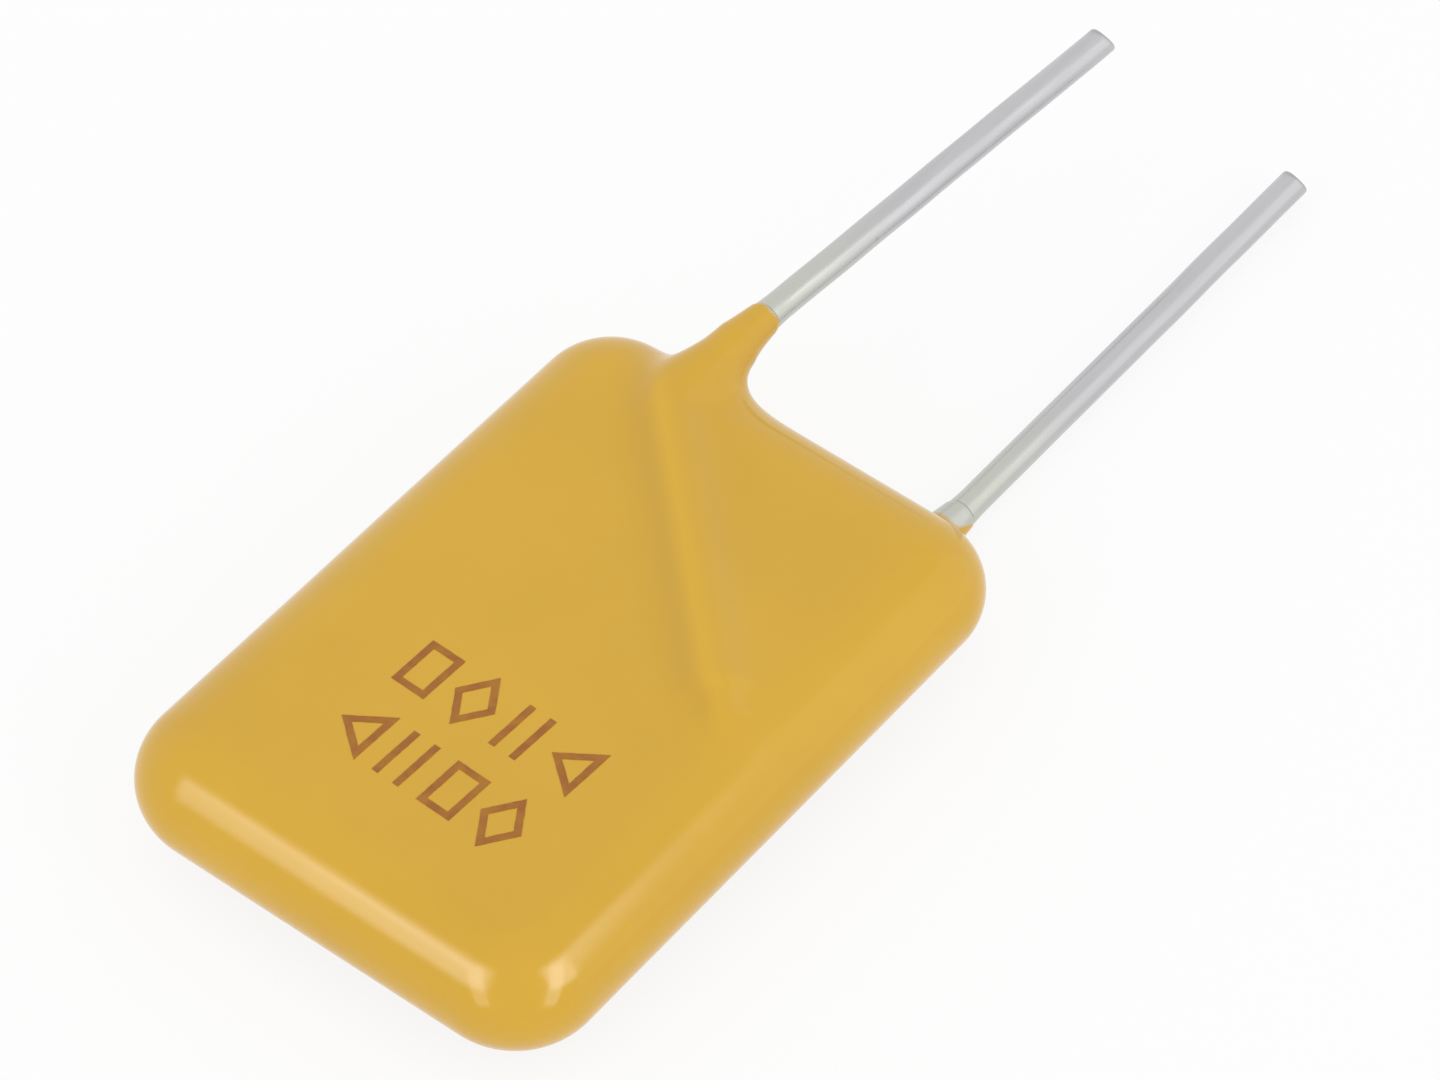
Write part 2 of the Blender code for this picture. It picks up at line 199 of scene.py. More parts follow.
class CoatSettings(bpy.types.PropertyGroup):
    cuts: bpy.props.IntProperty(
        name="Cuts", description="Cuts in each edge of the packed coat's outside", default=4, min=1, max=5)
    wave_height: length_setting("Wave height", "Height of the slow waves in the dried resin", 0.004 * MM)
    wave_length: length_setting("Wave length", "Distance between the slow waves", 2.6 * MM)
    peel_size: length_setting("Peel size", "Size of the fine orange peel", 0.35 * MM)
    colour: colour_setting("Resin", "Colour of the dried resin", (0.655, 0.375, 0.010))
    deep_colour: colour_setting("Deep resin", "Colour where the pigment is denser", (0.630, 0.355, 0.008))
    # The crest colour is a painted highlight on the front ridge, and the pooled resin colour is a painted
    # shade along its left foot
    crest_highlight_colour: colour_setting("Crest", "Colour of the thin resin on the ridge", (0.695, 0.398, 0.010))
    foot_shade_colour: colour_setting("Pooled resin", "Colour along the foot of the ridge", (0.610, 0.343, 0.008))
    film_colour: colour_setting("Film", "Colour of the wire seen through a thin film", (0.53, 0.54, 0.49))
    roughness: share_setting("Roughness", "Roughness of the resin", 0.11)


class WireSettings(bpy.types.PropertyGroup):
    segments: bpy.props.IntProperty(
        name="Segments", description="Sides of the round wire", default=48, min=12, max=96)
    ring_step: length_setting("Ring step", "Distance between rings along the straight part", 0.20 * MM)
    tip_round: length_setting("Tip round", "Rounding of the cut ends", 0.11 * MM)
    wander: length_setting("Wander", "How far the wire strays from a straight line", 0.012 * MM)
    colour: colour_setting("Tin", "Colour of the tin plate", (0.545, 0.54, 0.56))
    dull_colour: colour_setting("Dull tin", "Colour of the duller streaks", (0.51, 0.508, 0.52))
    # The resin film tint is resin residue next to the coat and, further up the wire, a painted reflection of
    # the yellow coat
    film_colour: colour_setting("Resin film", "Tint near the coat", (0.54, 0.55, 0.49))
    tint_reach: length_setting("Film reach", "How far the tint climbs the wire beyond the coat", 4.0 * MM)
    cut_colour: colour_setting("Cut end", "Colour of the wire where it was cut", (0.30, 0.30, 0.30))
    speck_colour: colour_setting("Specks", "Colour of the specks near the coat", (0.16, 0.16, 0.16))
    roughness: share_setting("Roughness", "Roughness of the tin plate", 0.25)


class MarkSettings(bpy.types.PropertyGroup):
    width: length_setting("Width", "Width of one mark", 0.84 * MM)
    height: length_setting("Height", "Height of one mark", 1.24 * MM)
    pitch: length_setting("Pitch", "Distance between marks in a row", 1.22 * MM)
    stroke: length_setting("Stroke", "Width of the inked line", 0.155 * MM)
    film: length_setting("Film", "Thickness of the ink", 0.008 * MM)
    colour: colour_setting("Ink", "Colour of the ink", (0.335, 0.118, 0.026))
    thin_colour: colour_setting("Thin ink", "Colour where the ink is thin", (0.40, 0.165, 0.024))


class CoreSettings(bpy.types.PropertyGroup):
    polymer: colour_setting("Polymer", "Colour of the carbon filled slab", (0.022, 0.022, 0.023))
    nickel: colour_setting("Nickel", "Colour of the foils", (0.56, 0.53, 0.48))
    solder: colour_setting("Solder", "Colour of the joints", (0.60, 0.60, 0.61))


class StageSettings(bpy.types.PropertyGroup):
    floor_colour: colour_setting("Floor", "Colour of the floor", (0.90, 0.90, 0.90))
    fill: share_setting("Fill", "Even light from all round", 0.90)
    key: bpy.props.FloatProperty(name="Key", description="Brightness of the soft boxes", default=3.3, min=0)


# Coat as a distance field, the same as in the part but for the root of the necks

def tablet_distance(places):
    """Distance to the flat tablet with round edges, without the wires."""
    x, y, z = places.T
    corner = np.where(y > 0, CORNER_LEAD_END, CORNER_FAR_END) - EDGE_ROUND
    half_width = BODY_WIDTH / 2 - BODY_TAPER / 2 * y / EDGE_Y
    across = np.abs(x) - (half_width - EDGE_ROUND - corner)
    along = np.abs(y) - (EDGE_Y - EDGE_ROUND - corner)
    outside = np.hypot(np.maximum(across, 0), np.maximum(along, 0))
    inside = np.minimum(np.maximum(across, along), 0)
    rim = np.maximum(outside + inside - corner, 0) * MIDDLE / EDGE_ROUND
    return np.hypot(rim, z - MIDDLE) - MIDDLE


def coated_wire_distance(places, lead):
    """Distance to the coat round one wire, which sinks away past its inner end and thins up the neck."""
    inside = [lead.run(RUN_LENGTH)] + lead.elbow(FIELD_ELBOW_STEPS)
    neck = [lead.straight(stop) for stop in (0, NECK_RISE, lead.neck_length)]
    points = [lead.run(RUN_LENGTH + RIDGE_FADE)] + inside + neck
    coats = [RIDGE_TIP - LEAD_RADIUS] + [COAT_OVER_LEAD] * len(inside) + [NECK_ROOT, NECK_COAT, NECK_TIP]
    nearest = np.full(len(places), np.inf)
    for start, end, coat_start, coat_end in zip(points, points[1:], coats, coats[1:]):
        base = np.array(start)
        span = np.array(end) - base
        share = np.clip((places - base) @ span / (span @ span), 0, 1)
        centre = base + share[:, None] * span
        coat = coat_start + share * (coat_end - coat_start)
        nearest = np.minimum(nearest, np.linalg.norm(places - centre, axis=1) - LEAD_RADIUS - coat)
    return nearest


def blend(one, other, reach):
    """The smaller of two distances, with the valley between them filled over a given reach."""
    overlap = np.maximum(reach - np.abs(one - other), 0) / reach
    return np.minimum(one, other) - overlap ** 3 * reach / 6


def fillet_reach(places, lead):
    """Reach of the fillet along a wire, which widens up to the neck and most of all between the wires."""
    outward = np.clip(0.5 - lead.side * (places[:, 0] - lead.exit_x) / NECK_TURN, 0, 1)
    neck = NECK_BLEND_INNER + (NECK_BLEND_OUTER - NECK_BLEND_INNER) * outward ** 2 * (3 - 2 * outward)
    rise = np.clip((places[:, 1] - (EDGE_Y - ELBOW_INSET)) / ELBOW_INSET, 0, 1)
    return RIDGE_BLEND + (neck - RIDGE_BLEND) * rise


def coat_distance(places):
    distance = tablet_distance(places)
    for lead in (FRONT, BACK):
        distance = blend(distance, coated_wire_distance(places, lead), fillet_reach(places, lead))
    return distance


def coat_slope(places):
    steps = np.eye(3) * NUDGE
    rises = [coat_distance(places + step) - coat_distance(places - step) for step in steps]
    return np.stack(rises, axis=1) / (2 * NUDGE)


def settle(places):
    """Move each place to the coat's surface along the slope of the field."""
    for _ in range(SETTLE_PASSES):
        slope = coat_slope(places)
        steep = np.maximum((slope ** 2).sum(axis=1), LEAST_SLOPE)
        places = places - (coat_distance(places) / steep)[:, None] * slope
    return places


def waves(place, height, length):
    """Slow waves of the dried resin at one place."""
    return height * noise.noise(Vector(place) / length)


# Pieces

def new_piece(name, shape, material, replaces=()):
    """Make a finished object at the origin that rides on the part's one body."""
    mesh = bpy.data.meshes.new(name)
    shape.to_mesh(mesh)
    shape.free()
    mesh.materials.append(material)
    mesh.shade_smooth()
    mesh.set_sharp_from_angle(angle=SHARP_TURN)
    piece = bpy.data.objects.new(name, mesh)
    bpy.context.scene.collection.objects.link(piece)
    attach(piece, "root")
    if replaces:
        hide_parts(*replaces)


def dress(node, material):
    """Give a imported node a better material."""
    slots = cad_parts[node].data.materials
    slots.clear()
    slots.append(material)


# Shader helpers

def add(tree, kind, inputs=(), **attributes):
    """A new node, whose inputs take values or are linked to sockets."""
    node = tree.nodes.new(kind)
    for name, value in attributes.items():
        setattr(node, name, value)
    for name, value in dict(inputs).items():
        if isinstance(value, bpy.types.NodeSocket):
            tree.links.new(value, node.inputs[name])
        else:
            node.inputs[name].default_value = value
    return node


def opaque(colour):
    return (*colour, 1)


def new_group(name, inputs, outputs):
    """An empty node group with named sockets, its input node and its output node."""
    group = bpy.data.node_groups.new(name, "ShaderNodeTree")
    for label, kind in inputs:
        group.interface.new_socket(label, in_out="INPUT", socket_type="NodeSocket" + kind)
    for label, kind in outputs:
        group.interface.new_socket(label, in_out="OUTPUT", socket_type="NodeSocket" + kind)
    return group, add(group, "NodeGroupInput"), add(group, "NodeGroupOutput")


def tone_group():
    """Cloudy change between two colours."""
    found = bpy.data.node_groups.get("cloudy_tone")
    if found:
        return found
    group, given, made = new_group(
        "cloudy_tone",
        [("Place", "Vector"), ("Scale", "Float"), ("Light", "Color"), ("Deep", "Color")],
        [("Colour", "Color")])
    clouds = add(group, "ShaderNodeTexNoise", {
        "Vector": given.outputs["Place"], "Scale": given.outputs["Scale"], "Detail": 3.0, "Roughness": 0.55})
    share = add(group, "ShaderNodeMapRange", {
        "Value": clouds.outputs["Fac"], "From Min": 0.35, "From Max": 0.65})
    mix = add(group, "ShaderNodeMix", {
        "Factor": share.outputs["Result"], "A": given.outputs["Light"], "B": given.outputs["Deep"]},
        data_type="RGBA")
    group.links.new(mix.outputs["Result"], made.inputs["Colour"])
    return group


def grain_group():
    """Height of a surface with a coarse and a fine grain, and a roughness that follows it."""
    found = bpy.data.node_groups.get("surface_grain")
    if found:
        return found
    group, given, made = new_group(
        "surface_grain",
        [("Place", "Vector"), ("Coarse", "Float"), ("Fine", "Float"), ("Fine share", "Float"),
         ("Smooth", "Float"), ("Rough", "Float")],
        [("Height", "Float"), ("Roughness", "Float")])
    layers = [add(group, "ShaderNodeTexNoise", {
        "Vector": given.outputs["Place"], "Scale": given.outputs[name], "Detail": 2.0})
        for name in ("Coarse", "Fine")]
    height = add(group, "ShaderNodeMix", {
        "Factor": given.outputs["Fine share"], "A": layers[0].outputs["Fac"], "B": layers[1].outputs["Fac"]})
    rough = add(group, "ShaderNodeMapRange", {
        "Value": layers[0].outputs["Fac"], "From Min": 0.3, "From Max": 0.7,
        "To Min": given.outputs["Smooth"], "To Max": given.outputs["Rough"]})
    group.links.new(height.outputs["Result"], made.inputs["Height"])
    group.links.new(rough.outputs["Result"], made.inputs["Roughness"])
    return group


def speck_group():
    """Mask of small scattered specks."""
    found = bpy.data.node_groups.get("scattered_specks")
    if found:
        return found
    group, given, made = new_group(
        "scattered_specks", [("Place", "Vector"), ("Scale", "Float"), ("Size", "Float")], [("Mask", "Float")])
    cells = add(group, "ShaderNodeTexVoronoi", {
        "Vector": given.outputs["Place"], "Scale": given.outputs["Scale"], "Randomness": 1.0})
    mask = add(group, "ShaderNodeMapRange", {
        "Value": cells.outputs["Distance"], "From Min": 0.0, "From Max": given.outputs["Size"],
        "To Min": 1.0, "To Max": 0.0}, interpolation_type="SMOOTHSTEP")
    group.links.new(mask.outputs["Result"], made.inputs["Mask"])
    return group


def use_group(tree, group, inputs):
    """Place a node group in a material with its own values."""
    return add(tree, "ShaderNodeGroup", inputs, node_tree=group)


def new_material(name):
    material = bpy.data.materials.new(name)
    material.use_nodes = True
    tree = material.node_tree
    place = add(tree, "ShaderNodeTexCoord").outputs["Object"]
    return material, tree, tree.nodes["Principled BSDF"], place


def attribute(tree, name):
    return add(tree, "ShaderNodeAttribute", attribute_name=name).outputs["Fac"]


def mixed(tree, factor, one, other):
    mix = add(tree, "ShaderNodeMix", {"Factor": factor, "A": one, "B": other}, data_type="RGBA")
    return mix.outputs["Result"]


def bump(tree, shader, height, depth):
    """Raise the surface by up to a given depth in metres."""
    node = add(tree, "ShaderNodeBump", {"Height": height, "Strength": 1.0, "Distance": depth})
    tree.links.new(node.outputs["Normal"], shader.inputs["Normal"])


# Coat

def resin_material(settings):
    """Pigmented epoxy that dried in slow waves, thin enough at the neck ends to show the wire, with a painted
    highlight on the front ridge's crest and a painted shade along its foot.
    """
    material, tree, shader, place = new_material("dipped_resin")
    tone = use_group(tree, tone_group(), {
        "Place": place, "Scale": 1 / RESIN_CLOUDS, "Light": opaque(settings.colour),
        "Deep": opaque(settings.deep_colour)})
    # painted highlight on the crest of the front ridge, then painted shade along its left foot
    crest = mixed(tree, attribute(tree, "crest"), tone.outputs["Colour"], opaque(settings.crest_highlight_colour))
    foot_shaded = mixed(tree, attribute(tree, "foot"), crest, opaque(settings.foot_shade_colour))
    film = attribute(tree, "thin_film")
    tree.links.new(mixed(tree, film, foot_shaded, opaque(settings.film_colour)), shader.inputs["Base Color"])
    tree.links.new(film, shader.inputs["Metallic"])
    shader.inputs["IOR"].default_value = RESIN_IOR
    grain = use_group(tree, grain_group(), {
        "Place": place, "Coarse": 1 / (2 * settings.peel_size), "Fine": 1 / (settings.peel_size / 3),
        "Fine share": 0.25,
        "Smooth": settings.roughness - RESIN_SPREAD, "Rough": settings.roughness + RESIN_SPREAD})
    rough = add(tree, "ShaderNodeMix", {"Factor": film, "A": grain.outputs["Roughness"], "B": FILM_ROUGHNESS})
    tree.links.new(rough.outputs["Result"], shader.inputs["Roughness"])
    bump(tree, shader, grain.outputs["Height"], GRAIN_DEPTH)
    return material


def outer_faces(shape):
    """Faces reached from the top of the coat without going over a sharp edge."""
    start = max(shape.faces, key=lambda face: face.calc_center_median().z)
    found = {start}
    waiting = [start]
    while waiting:
        for edge in waiting.pop().edges:
            if len(edge.link_faces) == 2 and edge.calc_face_angle() < SHARP_TURN:
                fresh = [face for face in edge.link_faces if face not in found]
                found.update(fresh)
                waiting.extend(fresh)
    return found


def refine_coat(shape, settings):
    """Cut the outside of the coat finer and settle its points on the field, with slow waves on it."""
    outside = outer_faces(shape)
    rim = {vert for face in shape.faces if face not in outside for vert in face.verts}
    edges = list({edge for face in outside for edge in face.edges})
    old = {face for face in shape.faces if face not in outside}
    bmesh.ops.subdivide_edges(shape, edges=edges, cuts=settings.cuts, use_grid_fill=True)
    outside = [face for face in shape.faces if face not in old]
    inner = {vert for face in shape.faces if face in old for vert in face.verts} | rim
    free = [vert for vert in {vert for face in outside for vert in face.verts} if vert not in inner]
    free.sort(key=lambda vert: tuple(vert.co))
    places = settle(np.array([vert.co for vert in free], float))
    slope = coat_slope(places)
    slope /= np.linalg.norm(slope, axis=1)[:, None]
    for vert, place, up in zip(free, places, slope):
        calm = min(1, max(0, (EDGE_Y - place[1]) / NECK_RISE))
        vert.co = place + up * waves(place, settings.wave_height * calm, settings.wave_length)


def thin_necks(shape):
    """Run the ends of the necks down to a thin lip on the wire."""
    for vert in shape.verts:
        lead = FRONT if vert.co.x < LEAD_OFFSET else BACK
        beyond = vert.co.y - EDGE_Y
        centre = lead.straight(beyond)
        outward = vert.co - centre
        if beyond < NECK_RISE or outward.length > NECK_SPAN:
            continue
        limit = LEAD_RADIUS + FILM_LIP + FILM_SLOPE * (lead.neck_length - beyond)
        if outward.length > limit:
            vert.co = centre + outward.normalized() * limit


def film_share(place):
    """How much the wire shows through the resin at one place on the coat, 0 to 1."""
    lead = FRONT if place.x < LEAD_OFFSET else BACK
    beyond = place.y - EDGE_Y
    outward = place - lead.straight(beyond)
    if beyond < 0 or outward.length > NECK_SPAN:
        return 0
    start, climb, toward = FILM_EDGE[lead.name]
    side = max(0, Vector((math.sin(toward), 0, math.cos(toward))).dot(outward.normalized()))
    return min(1, max(0, (beyond - start - climb * side ** 3) / FILM_FADE))


def painted_ridge_shares(places):
    """How much painted highlight each place takes on the crest of the front ridge and how much painted shade
    at its left foot, 0 to 1.
    """
    lift = np.clip(tablet_distance(places) / CREST_LIFT, 0, 1)
    lift *= (places[:, 2] > MIDDLE) * np.clip((EDGE_Y - places[:, 1]) / ELBOW_INSET, 0, 1)
    left = np.array((-math.sin(RUN_SLANT), -math.cos(RUN_SLANT), 0))
    side = (places - np.array(FRONT.run(0))) @ left
    crest = lift ** 2 * np.clip(0.5 + side / HIGHLIGHT_TURN, 0, 1)
    return crest, 4 * lift * (1 - lift) * np.clip(side / SHADE_TURN, 0, 1)


class FUSE_OT_coat(bpy.types.Operator):
    """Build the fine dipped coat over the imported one"""

    bl_idname = "fuse.coat"
    bl_label = "Dipped coat"

    def execute(self, context):
        settings = context.scene.fuse_coat
        shape = bmesh.new()
        shape.from_mesh(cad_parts["epoxy_coating"].data)
        bmesh.ops.remove_doubles(shape, verts=shape.verts, dist=MERGE)
        refine_coat(shape, settings)
        thin_necks(shape)
        bmesh.ops.triangulate(shape, faces=[face for face in shape.faces if len(face.verts) > 4])
        # the crest layer carries the ridge's painted highlight and the foot layer its painted shade
        film, crest, foot = [shape.verts.layers.float.new(name) for name in ("thin_film", "crest", "foot")]
        shares = painted_ridge_shares(np.array([vert.co for vert in shape.verts], float))
        for vert, on_crest, at_foot in zip(shape.verts, *shares):
            vert[film] = film_share(vert.co)
            vert[crest] = on_crest
            vert[foot] = at_foot
        new_piece("dipped_coat", shape, resin_material(settings), ["epoxy_coating"])
        return {"FINISHED"}


# Wires, whose tips were cut at a slant: they are shorter on top, and a little longer on the right

TIP_TOP = Vector((0.469, 0, 0.883))         # across the wire, towards the top of its cut
TIP_SIDE = Vector((0.883, 0, -0.469))       # across the wire, towards the right of its cut
TIP_BACK = 0.56                             # how steeply the cut leans back at the top
TIP_SLANT = {"front": 0.17, "back": 0.07}   # how steeply it leans out on the right
TIP_ZONE = 0.6 * MM             # over which the rings lean over to the slant
TIP_STEPS = 4                   # steps in the rounding of an end
CUT_REACH = 1.5                 # how much further the dark cut runs down on the left, in roundings
ELBOW_RINGS = 16
WANDER_LENGTH = 1.7 * MM        # distance over which a wire strays and comes back
WANDER_START = 1.0 * MM         # beyond the neck, over which it begins to stray

# The film of resin that lets each wire fill its neck and meet its lip, and the film's run-out at both ends
SWELL = 0.020 * MM
SWELL_FADE = 0.30 * MM

# Finish of the tin plate
TIN_CLOUDS = 0.22 * MM          # width of the streaks
TIN_DRAWN = 0.06                # scale of the pattern along the wire, which draws it out into streaks
TIN_COARSE = 0.15 * MM
TIN_FINE = 0.04 * MM
TIN_SPREAD = 0.05               # how far its roughness strays either way
SPECK_SPACING = 0.9 * MM
SPECK_SIZE = 0.08               # in spacings


def tin_material(settings):
    """Tin plate with streaks along the wire, tinted near the coat by resin residue and a painted reflection
    of the coat, and darker where it was cut.
    """
    material, tree, shader, place = new_material("tin_plate")
    drawn = add(tree, "ShaderNodeMapping", {"Vector": place, "Scale": (1, TIN_DRAWN, 1)}).outputs["Vector"]
    tone = use_group(tree, tone_group(), {
        "Place": drawn, "Scale": 1 / TIN_CLOUDS, "Light": opaque(settings.colour),
        "Deep": opaque(settings.dull_colour)})
    # tint near the coat: resin residue and a painted reflection of the yellow coat
    tint = attribute(tree, "residue_and_reflection_tint")
    tinted = mixed(tree, tint, tone.outputs["Colour"], opaque(settings.film_colour))
    specks = use_group(tree, speck_group(), {"Place": place, "Scale": 1 / SPECK_SPACING, "Size": SPECK_SIZE})
    near = add(tree, "ShaderNodeMath", {0: specks.outputs["Mask"], 1: tint}, operation="MULTIPLY").outputs[0]
    spotted = mixed(tree, near, tinted, opaque(settings.speck_colour))
    tree.links.new(mixed(tree, attribute(tree, "cut_end"), spotted, opaque(settings.cut_colour)),
                   shader.inputs["Base Color"])
    shader.inputs["Metallic"].default_value = 1
    grain = use_group(tree, grain_group(), {
        "Place": drawn, "Coarse": 1 / TIN_COARSE, "Fine": 1 / TIN_FINE, "Fine share": 0.4,
        "Smooth": settings.roughness - TIN_SPREAD, "Rough": settings.roughness + TIN_SPREAD})
    tree.links.new(grain.outputs["Roughness"], shader.inputs["Roughness"])
    bump(tree, shader, grain.outputs["Height"], GRAIN_DEPTH)
    return material


def wire_stations(lead, settings):
    """Centre, heading and radius of each ring of a wire, from its inner end to its cut tip."""
    steps = round(lead.length / settings.ring_step)
    straight = [lead.straight(lead.length * k / steps) for k in range(steps + 1)]
    points = [lead.run(RUN_LENGTH)] + lead.elbow(ELBOW_RINGS) + straight
    stations = []
    for index, point in enumerate(points):
        before = points[max(index - 1, 0)]
        after = points[min(index + 1, len(points) - 1)]
        heading = (after - before).normalized()
        stations.append((point, heading, LEAD_RADIUS))
    return stations


def rounded_end(station, tip_round, way):
    """Rings that round off a cut end. The way is 1 at the tip and -1 at the inner end."""
    point, heading, radius = station
    rings = []
    for step in range(TIP_STEPS + 1):
        turn = math.pi / 2 * step / TIP_STEPS
        inset = tip_round * (1 - math.sin(turn))
        rings.append((point - way * heading * inset, heading, radius - tip_round * (1 - math.cos(turn))))
    return rings


def ring_place(station):
    """Matrix that puts a unit ring, drawn round the Y axis, at a station."""
    point, heading, radius = station
    turn = Vector((0, 1, 0)).rotation_difference(heading).to_matrix().to_4x4()
    return Matrix.Translation(point) @ turn @ Matrix.Diagonal((radius, 1, radius, 1))


def wire_mesh(lead, settings):
    """A round wire, drawn ring by ring from its inner end to its tip."""
    stations = wire_stations(lead, settings)
    tip = rounded_end(stations.pop(), settings.tip_round, 1)
    first = list(reversed(rounded_end(stations.pop(0), settings.tip_round, -1)))
    stations = first + stations + tip
    shape = bmesh.new()
    to_ring = Matrix.Rotation(math.radians(90), 4, "X")
    made = bmesh.ops.create_circle(shape, segments=settings.segments, radius=1, cap_ends=True,
                                   matrix=ring_place(stations[0]) @ to_ring)
    ring = list({edge for vert in made["verts"] for edge in vert.link_edges})
    for before, after in zip(stations, stations[1:]):
        grown = bmesh.ops.extrude_edge_only(shape, edges=ring)["geom"]
        ring = [item for item in grown if isinstance(item, bmesh.types.BMEdge)
                and all(vert in grown for vert in item.verts)]
        verts = [item for item in grown if isinstance(item, bmesh.types.BMVert)]
        move = ring_place(after) @ ring_place(before).inverted()
        bmesh.ops.transform(shape, matrix=move, verts=verts)
    bmesh.ops.edgeloop_fill(shape, edges=ring)
    bmesh.ops.recalc_face_normals(shape, faces=shape.faces)
    finish_wire(shape, lead, settings)
    return shape


def finish_wire(shape, lead, settings):
    """Mark the cut on a wire and its tint near the coat, which is resin residue and a painted reflection of
    the coat, and give it its wander, its film and its slanted tip.
    """
    tint = shape.verts.layers.float.new("residue_and_reflection_tint")
    cut = shape.verts.layers.float.new("cut_end")
    for vert in shape.verts:
        beyond = vert.co.y - EDGE_Y
        if beyond < 0:
            vert[tint] = 1
            continue
        offset = vert.co - lead.straight(beyond)
        left = max(0, -offset.dot(TIP_SIDE) / LEAD_RADIUS)
        # painted reflection of the coat, with resin residue close to it, fading over the tint reach
        vert[tint] = min(1, max(0, 1 - (beyond - lead.neck_length) / settings.tint_reach))
        reach = settings.tip_round * (1 + CUT_REACH * left)
        vert[cut] = min(1, max(0, (beyond - lead.length) / reach + 1))
        stray = noise.noise_vector(Vector((0, vert.co.y, 0)) / WANDER_LENGTH + Vector((lead.side, 0, 0)))
        loose = min(1, max(0, (beyond - lead.neck_length) / WANDER_START))
        vert.co += Vector((stray.x, 0, stray.z)) * settings.wander * loose
        swell = min(1, beyond / SWELL_FADE, max(0, (lead.neck_length - beyond) / SWELL_FADE + 1))
        vert.co += offset / LEAD_RADIUS * SWELL * swell
        slant = min(1, max(0, (beyond - lead.length) / TIP_ZONE + 1))
        vert.co.y += slant * (TIP_SLANT[lead.name] * offset.dot(TIP_SIDE) - TIP_BACK * offset.dot(TIP_TOP))


class FUSE_OT_wires(bpy.types.Operator):
    """Build the two tinned wires with their cut ends"""

    bl_idname = "fuse.wires"
    bl_label = "Tinned wires"

    def execute(self, context):
        settings = context.scene.fuse_wires
        material = tin_material(settings)
        for lead in (FRONT, BACK):
            shape = wire_mesh(lead, settings)
            new_piece(lead.name + "_wire", shape, material, [lead.name + "_lead"])
        return {"FINISHED"}


# Marks on the front face: plain shapes in two rows, each with its height on the face, its first mark's
# place across it, and its shapes from left to right

MARK_ROWS = (
    (-2.31 * MM, -1.58 * MM, ("square", "diamond", "bars", "triangle")),
    (-4.25 * MM, -1.64 * MM, ("triangle", "bars", "square", "diamond")),
)
MARK_SIDES = {"square": 4, "triangle": 3, "diamond": 4}
MARK_TURN = {"square": math.radians(45), "triangle": math.radians(90), "diamond": 0}
MARK_SIZE = {"square": 1, "triangle": 1.1, "diamond": 1.22}
MARK_SLANT = math.radians(-2)
MARK_EDGE = 0.07 * MM           # length of the edges along an outline
MARK_JITTER = 0.008 * MM        # how far an outline strays
JITTER_LENGTH = 0.12 * MM       # distance over which it strays and comes back
BAR_SPREAD = 2.6                # a mark's clear width over the shift of each bar from the middle

# Finish of the ink
INK_CLOUDS = 0.3 * MM
INK_COARSE = 0.25 * MM
INK_FINE = 0.05 * MM


def ink_material(settings):
    """Stamped ink that covers unevenly."""
    material, tree, shader, place = new_material("stamped_ink")
    tone = use_group(tree, tone_group(), {
        "Place": place, "Scale": 1 / INK_CLOUDS, "Light": opaque(settings.colour),
        "Deep": opaque(settings.thin_colour)})
    tree.links.new(tone.outputs["Colour"], shader.inputs["Base Color"])
    shader.inputs["Specular IOR Level"].default_value = 0.2
    grain = use_group(tree, grain_group(), {
        "Place": place, "Coarse": 1 / INK_COARSE, "Fine": 1 / INK_FINE, "Fine share": 0.5,
        "Smooth": 0.35, "Rough": 0.5})
    tree.links.new(grain.outputs["Roughness"], shader.inputs["Roughness"])
    bump(tree, shader, grain.outputs["Height"], GRAIN_DEPTH)
    return material


def outline_mark(shape, kind, centre, settings):
    """A closed outline of one stroke's width."""
    turn = Matrix.Rotation(MARK_TURN[kind], 4, "Z")
    made = bmesh.ops.create_circle(shape, segments=MARK_SIDES[kind], radius=0.5, cap_ends=True, matrix=turn)
    verts = made["verts"]
    face = verts[0].link_faces[0]
    low = Vector([min(vert.co[axis] for vert in verts) for axis in range(3)])
    high = Vector([max(vert.co[axis] for vert in verts) for axis in range(3)])
    size = Vector((settings.width, settings.height)) * MARK_SIZE[kind]
    bmesh.ops.translate(shape, vec=-(low + high) / 2, verts=verts)
    bmesh.ops.scale(shape, vec=(size.x / (high.x - low.x), size.y / (high.y - low.y), 1), verts=verts)
    bmesh.ops.translate(shape, vec=centre, verts=verts)
    bmesh.ops.inset_region(shape, faces=[face], thickness=settings.stroke, use_boundary=True,
                           use_even_offset=True)
    bmesh.ops.delete(shape, geom=[face], context="FACES")


def bar_marks(shape, centre, settings):
    """Two upright bars."""
    shift = (settings.width - settings.stroke) / BAR_SPREAD
    for side in (-1, 1):
        place = Matrix.Translation(centre + Vector((side * shift, 0, 0)))
        size = Matrix.Diagonal((settings.stroke, settings.height, 1, 1))
        bmesh.ops.create_grid(shape, x_segments=1, y_segments=1, size=0.5, matrix=place @ size)


